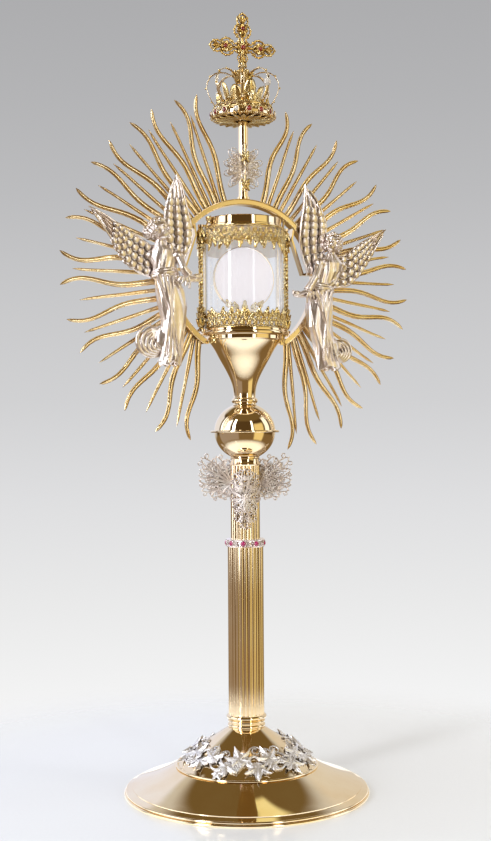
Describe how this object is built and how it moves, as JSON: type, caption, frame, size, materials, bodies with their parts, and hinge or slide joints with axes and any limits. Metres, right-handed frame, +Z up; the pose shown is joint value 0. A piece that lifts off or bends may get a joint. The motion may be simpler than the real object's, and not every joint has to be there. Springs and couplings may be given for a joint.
{
  "type": "monstrance",
  "caption": "Standing altar monstrance: round foot, reeded stem with knop, glass lantern with rear door and luna, sunburst glory, angels, crown and cross.",
  "frame": {"origin": "on the table, under the middle of the foot", "axes": "+Z up along the stem, the front (host and angels) faces -Y, +X to the viewer's right from the front"},
  "size_m": [0.4051, 0.276, 0.878],
  "materials": {
    "gilt": "polished gilding",
    "silver": "warm silver plate, softly polished",
    "glass": "clear polished glass",
    "wafer": "matte unleavened wafer",
    "stone": "polished ruby and clear paste stones",
    "felt": "wool felt",
    "iron": "painted casting",
    "steel": "plain turned steel"
  },
  "bodies": {
    "root": {"foot_rim": "gilt", "foot_shell": "gilt", "foot_dome": "gilt", "foot_collar": "gilt", "lower_shaft": "gilt", "upper_shaft": "gilt", "upper_collar": "gilt", "knop_lower": "gilt", "knop_girdle": "gilt", "knop_upper": "gilt", "neck_ring": "gilt", "cup": "gilt", "lantern_base": "gilt", "column_left": "gilt", "column_right": "gilt", "lantern_cap": "gilt", "lower_gallery": "gilt", "upper_gallery": "gilt", "door_hinge_leaves": "gilt", "luna_track": "gilt", "glory_ring": "gilt", "rays_wavy_left": "gilt", "rays_wavy_right": "gilt", "rays_straight_left": "gilt", "rays_straight_right": "gilt", "angel_brackets": "gilt", "crown_stem": "gilt", "rosette_flowers": "gilt", "crown_band": "gilt", "crown_arches": "gilt", "crown_fleurons": "gilt", "finial_cross": "gilt", "vine_wreath": "silver", "jewel_band": "silver", "stem_filigree": "silver", "angel_left": "silver", "angel_right": "silver", "angel_wings_left": "silver", "angel_wings_right": "silver", "stem_rosette": "silver", "front_glass": "glass", "band_stones": "stone", "crown_stones": "stone", "foot_felt_pad": "felt", "foot_base_plate": "iron", "tie_rod": "steel", "tie_nut": "steel", "door_hinge_pins": "steel"},
    "rear_door": {"door_frame": "gilt", "door_glass": "glass"},
    "door_bolt": {"door_bolt": "gilt"},
    "luna": {"luna_foot": "gilt", "luna_crescent": "gilt", "luna_front_rim": "gilt", "luna_front_glass": "glass", "host": "wafer", "luna_hinge_pin": "steel"},
    "luna_lid": {"luna_rear_rim": "gilt", "luna_rear_glass": "glass"}
  },
  "joints": [
    {"name": "rear_door", "type": "hinge", "parent": "root", "child": "rear_door", "pos_m": [-0.05, 0.009, 0.579], "axis": [0, 0, 1], "range_deg": [0, 110]},
    {"name": "door_bolt", "type": "slide", "parent": "rear_door", "child": "door_bolt", "axis": [0, 0, -1], "range_m": [0, 0.004]},
    {"name": "luna_slide", "type": "slide", "parent": "root", "child": "luna", "axis": [0, 1, 0], "range_m": [0, 0.006]},
    {"name": "luna_lid", "type": "hinge", "parent": "luna", "child": "luna_lid", "pos_m": [0, 0.002, 0.5404], "axis": [-1, 0, 0], "range_deg": [0, 12]}
  ]
}
